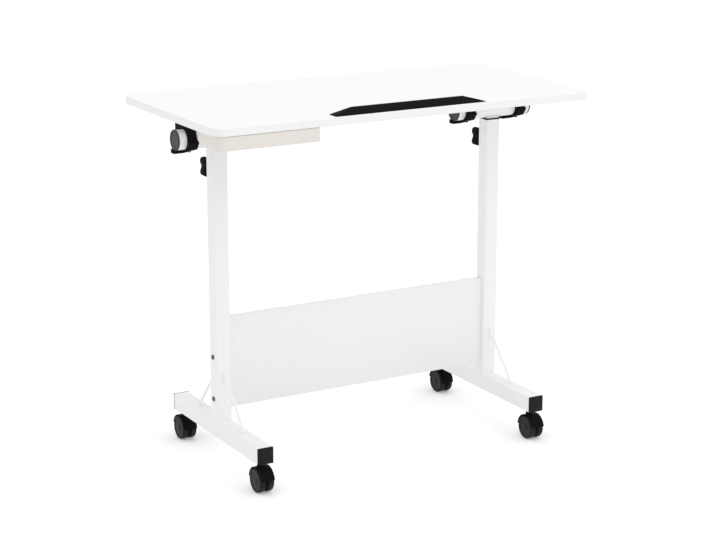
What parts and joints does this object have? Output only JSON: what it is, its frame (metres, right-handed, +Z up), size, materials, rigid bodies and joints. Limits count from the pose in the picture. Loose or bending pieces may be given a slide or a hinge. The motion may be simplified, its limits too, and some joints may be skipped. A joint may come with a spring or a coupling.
{
  "type": "rolling laptop desk",
  "caption": "White desk on two sliding posts and rolling feet, with a tilting top, black stop ledge, pencil tray and modesty panel.",
  "frame": {"origin": "on the floor under the middle of the desktop", "axes": "+X along the desktop to the user's right, +Y away from the user, +Z up"},
  "size_m": [0.8, 0.413, 0.707],
  "materials": {
    "white_board": "white melamine, satin",
    "white_edge": "satin edge band",
    "white_powder_coat": "satin powder coat",
    "black_plastic": "fine-grained moulded plastic",
    "wheel_nylon": "satin nylon",
    "grey_caps": "matte dark grey",
    "cream_plastic": "satin moulded plastic",
    "bright_steel": "zinc plated",
    "dark_screws": "dark zinc"
  },
  "bodies": {
    "base": {"foot_left": "white_powder_coat", "foot_right": "white_powder_coat", "foot_caps": "black_plastic", "post_left": "white_powder_coat", "post_right": "white_powder_coat", "post_collars": "black_plastic", "knob_nuts": "white_powder_coat", "modesty_panel": "white_board", "panel_bolts": "dark_screws", "brace_rods": "white_powder_coat", "caster_sockets": "black_plastic"},
    "carriage": {"slide_post_left": "white_powder_coat", "slide_post_right": "white_powder_coat", "post_glides": "black_plastic", "head_tube_left": "white_powder_coat", "head_tube_right": "white_powder_coat", "head_tube_caps": "grey_caps"},
    "top": {"desktop": "white_board", "edge_band": "white_edge", "stop_ledge": "black_plastic", "tray_runners": "cream_plastic", "clamp_left_outer": "black_plastic", "clamp_left_inner": "black_plastic", "clamp_right_inner": "black_plastic", "clamp_right_outer": "black_plastic", "clamp_screws": "bright_steel", "lever_pins": "bright_steel"},
    "tray": {"tray": "cream_plastic"},
    "knob_left": {"knob_left": "black_plastic", "knob_stud_left": "bright_steel"},
    "knob_right": {"knob_right": "black_plastic", "knob_stud_right": "bright_steel"},
    "lever_left_outer": {"lever_left_outer": "black_plastic"},
    "lever_left_inner": {"lever_left_inner": "black_plastic"},
    "lever_right_inner": {"lever_right_inner": "black_plastic"},
    "lever_right_outer": {"lever_right_outer": "black_plastic"},
    "caster_nl": {"caster_hood_nl": "black_plastic", "caster_axle_nl": "bright_steel"},
    "wheel_nl_a": {"wheel_nl_a": "wheel_nylon"},
    "wheel_nl_b": {"wheel_nl_b": "wheel_nylon"},
    "caster_fl": {"caster_hood_fl": "black_plastic", "caster_axle_fl": "bright_steel"},
    "wheel_fl_a": {"wheel_fl_a": "wheel_nylon"},
    "wheel_fl_b": {"wheel_fl_b": "wheel_nylon"},
    "caster_nr": {"caster_hood_nr": "black_plastic", "caster_axle_nr": "bright_steel"},
    "wheel_nr_a": {"wheel_nr_a": "wheel_nylon"},
    "wheel_nr_b": {"wheel_nr_b": "wheel_nylon"},
    "caster_fr": {"caster_hood_fr": "black_plastic", "caster_axle_fr": "bright_steel"},
    "wheel_fr_a": {"wheel_fr_a": "wheel_nylon"},
    "wheel_fr_b": {"wheel_fr_b": "wheel_nylon"}
  },
  "joints": [
    {"name": "height_slide", "type": "slide", "parent": "base", "child": "carriage", "axis": [0, 0, 1], "range_m": [0, 0.3]},
    {"name": "desktop_tilt", "type": "hinge", "parent": "carriage", "child": "top", "pos_m": [0, 0, 0.64], "axis": [1, 0, 0], "range_deg": [0, 60]},
    {"name": "tray_slide", "type": "slide", "parent": "top", "child": "tray", "axis": [0, -1, 0], "range_m": [0, 0.06]},
    {"name": "lever_left_outer_hinge", "type": "hinge", "parent": "top", "child": "lever_left_outer", "pos_m": [-0.358, 0, 0.6187], "axis": [0, -1, 0], "range_deg": [0, 70]},
    {"name": "lever_left_inner_hinge", "type": "hinge", "parent": "top", "child": "lever_left_inner", "pos_m": [-0.242, 0, 0.6187], "axis": [0, -1, 0], "range_deg": [0, 70]},
    {"name": "lever_right_inner_hinge", "type": "hinge", "parent": "top", "child": "lever_right_inner", "pos_m": [0.242, 0, 0.6187], "axis": [0, -1, 0], "range_deg": [0, 70]},
    {"name": "lever_right_outer_hinge", "type": "hinge", "parent": "top", "child": "lever_right_outer", "pos_m": [0.358, 0, 0.6187], "axis": [0, -1, 0], "range_deg": [0, 70]},
    {"name": "knob_left_turn", "type": "hinge", "parent": "base", "child": "knob_left", "pos_m": [-0.3, 0.018, 0.5786], "axis": [0, 1, 0], "range_deg": [0, 360]},
    {"name": "knob_right_turn", "type": "hinge", "parent": "base", "child": "knob_right", "pos_m": [0.3, 0.018, 0.5786], "axis": [0, 1, 0], "range_deg": [0, 360]},
    {"name": "caster_nl_swivel", "type": "hinge", "parent": "base", "child": "caster_nl", "pos_m": [-0.3, -0.161, 0.06], "axis": [0, 0, 1], "continuous": true},
    {"name": "wheel_nl_a_spin", "type": "hinge", "parent": "caster_nl", "child": "wheel_nl_a", "pos_m": [-0.3, -0.169, 0.023], "axis": [1, 0, 0], "continuous": true},
    {"name": "wheel_nl_b_spin", "type": "hinge", "parent": "caster_nl", "child": "wheel_nl_b", "pos_m": [-0.3, -0.169, 0.023], "axis": [1, 0, 0], "continuous": true},
    {"name": "caster_fl_swivel", "type": "hinge", "parent": "base", "child": "caster_fl", "pos_m": [-0.3, 0.161, 0.06], "axis": [0, 0, 1], "continuous": true},
    {"name": "wheel_fl_a_spin", "type": "hinge", "parent": "caster_fl", "child": "wheel_fl_a", "pos_m": [-0.3, 0.169, 0.023], "axis": [1, 0, 0], "continuous": true},
    {"name": "wheel_fl_b_spin", "type": "hinge", "parent": "caster_fl", "child": "wheel_fl_b", "pos_m": [-0.3, 0.169, 0.023], "axis": [1, 0, 0], "continuous": true},
    {"name": "caster_nr_swivel", "type": "hinge", "parent": "base", "child": "caster_nr", "pos_m": [0.3, -0.161, 0.06], "axis": [0, 0, 1], "continuous": true},
    {"name": "wheel_nr_a_spin", "type": "hinge", "parent": "caster_nr", "child": "wheel_nr_a", "pos_m": [0.3, -0.169, 0.023], "axis": [1, 0, 0], "continuous": true},
    {"name": "wheel_nr_b_spin", "type": "hinge", "parent": "caster_nr", "child": "wheel_nr_b", "pos_m": [0.3, -0.169, 0.023], "axis": [1, 0, 0], "continuous": true},
    {"name": "caster_fr_swivel", "type": "hinge", "parent": "base", "child": "caster_fr", "pos_m": [0.3, 0.161, 0.06], "axis": [0, 0, 1], "continuous": true},
    {"name": "wheel_fr_a_spin", "type": "hinge", "parent": "caster_fr", "child": "wheel_fr_a", "pos_m": [0.3, 0.169, 0.023], "axis": [1, 0, 0], "continuous": true},
    {"name": "wheel_fr_b_spin", "type": "hinge", "parent": "caster_fr", "child": "wheel_fr_b", "pos_m": [0.3, 0.169, 0.023], "axis": [1, 0, 0], "continuous": true}
  ]
}
